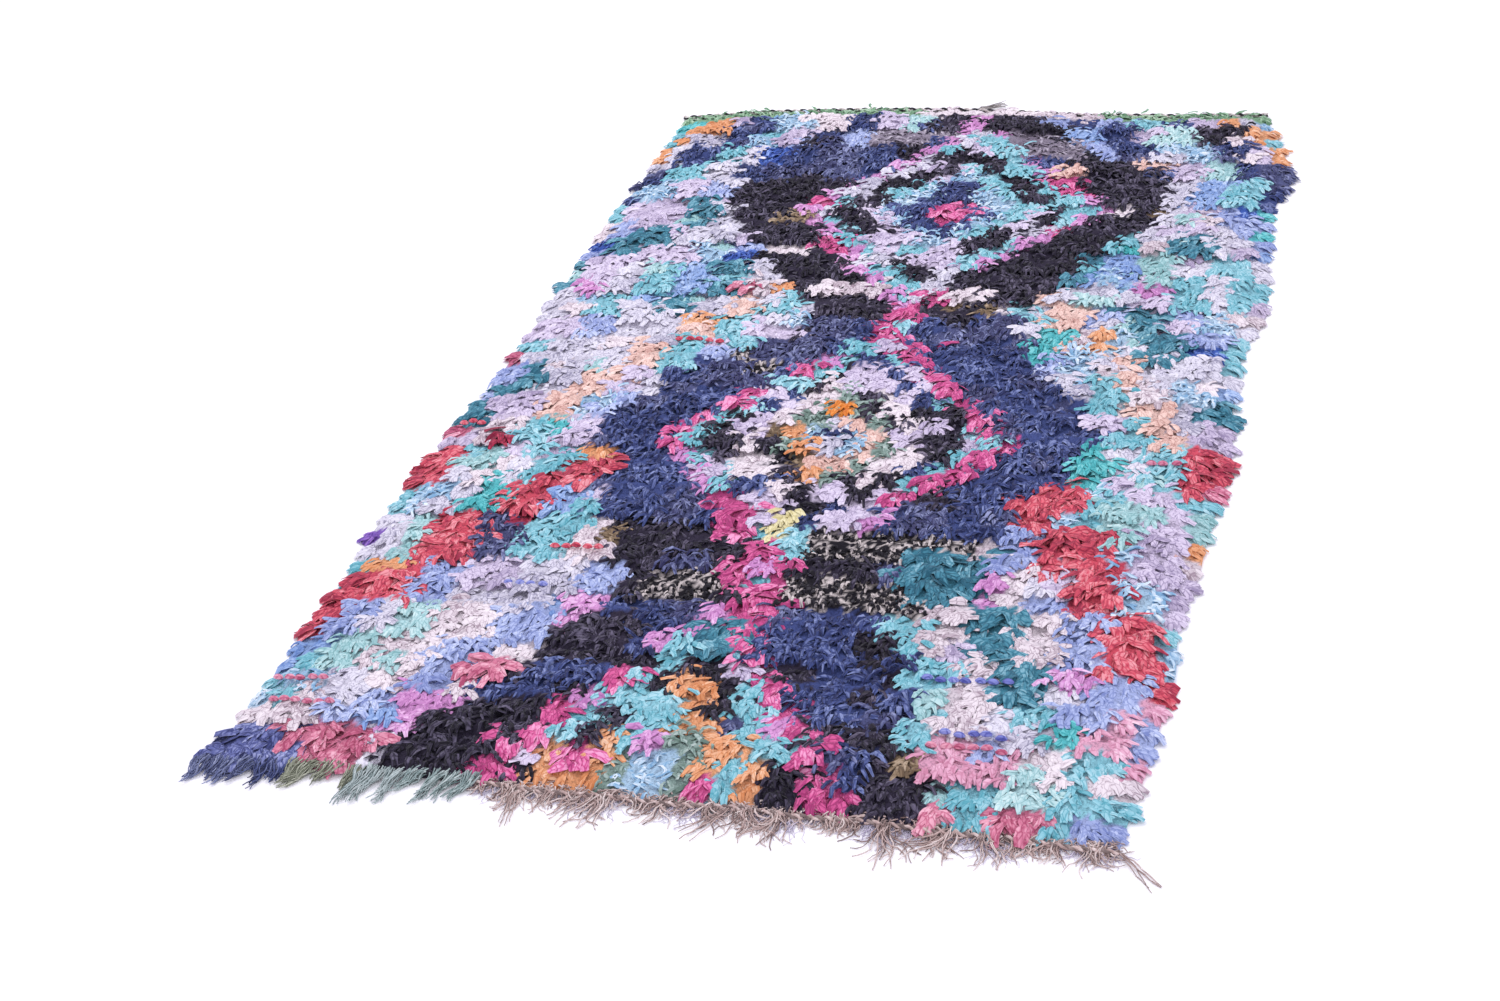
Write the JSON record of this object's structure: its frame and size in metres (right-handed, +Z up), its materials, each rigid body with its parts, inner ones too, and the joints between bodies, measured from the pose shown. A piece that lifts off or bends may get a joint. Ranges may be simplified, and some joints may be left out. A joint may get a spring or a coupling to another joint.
{
  "type": "boucherouite rug",
  "caption": "Hand-knotted rag rug lying flat, with shaggy pile in stacked lozenges and a stepped check field, a twined cord at one end and a warp fringe at the other.",
  "frame": {"origin": "middle of the outline's box, on the floor", "axes": "+Z up through the pile, +Y along the rug from the fringed end to the corded end, +X to the right with the fringed end near"},
  "size_m": [1.5146, 2.6118, 0.0343],
  "materials": {
    "rag_pile": "shaggy pile of cut cotton jersey, shirting and wool rags in many dye lots",
    "twined_wool": "dark and pale handspun wool, twined",
    "warp_yarn": "kinked grey-brown handspun warp ends"
  },
  "bodies": {
    "root": {"rug_pile": "rag_pile", "end_cord": "twined_wool", "warp_fringe": "warp_yarn"}
  },
  "joints": []
}
